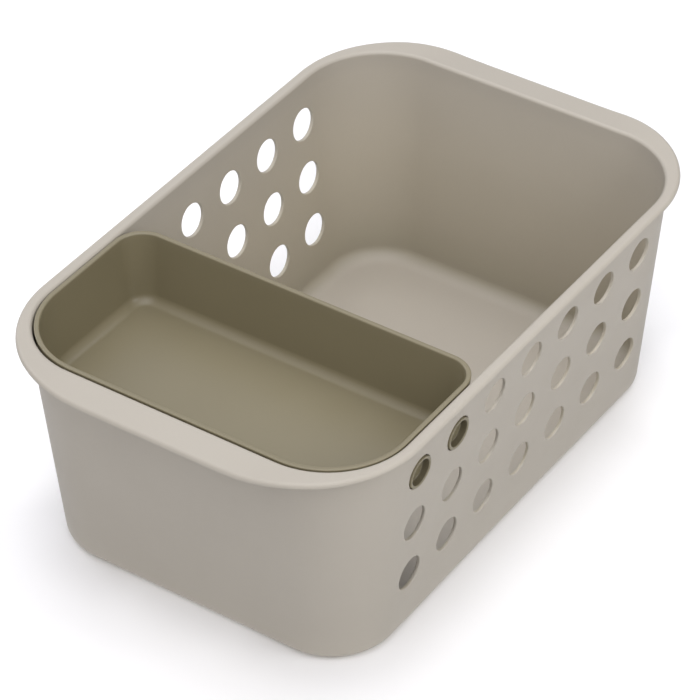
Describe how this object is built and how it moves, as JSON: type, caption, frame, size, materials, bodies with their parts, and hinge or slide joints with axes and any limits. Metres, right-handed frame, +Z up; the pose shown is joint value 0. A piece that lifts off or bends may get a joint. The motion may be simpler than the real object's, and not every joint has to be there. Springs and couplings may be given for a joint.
{
  "type": "storage basket with lift-out tray",
  "caption": "Open rectangular storage basket with rounded corners, a flat rim and round holes through its long walls; a shallow tray snaps in at one end by hollow pegs and lifts out.",
  "frame": {"origin": "middle of the underside, on the surface the basket stands on", "axes": "+Z up, +Y along the length towards the open end, with the tray at the -Y end, +X across the width"},
  "size_m": [0.2056, 0.3198, 0.1201],
  "materials": {
    "stone_plastic": "warm stone-grey moulded polypropylene, fine matte",
    "olive_plastic": "olive-khaki moulded polypropylene, satin"
  },
  "bodies": {
    "basket": {"basket": "stone_plastic"},
    "tray": {"tray": "olive_plastic", "tray_peg_left_front": "olive_plastic", "tray_peg_left_rear": "olive_plastic", "tray_peg_right_front": "olive_plastic", "tray_peg_right_rear": "olive_plastic"}
  },
  "joints": [
    {"name": "tray_lift", "type": "slide", "parent": "basket", "child": "tray", "axis": [0, 0, 1], "range_m": [0, 0.09], "deforming": ["tray_peg_left_front", "tray_peg_left_rear", "tray_peg_right_front", "tray_peg_right_rear"]}
  ]
}
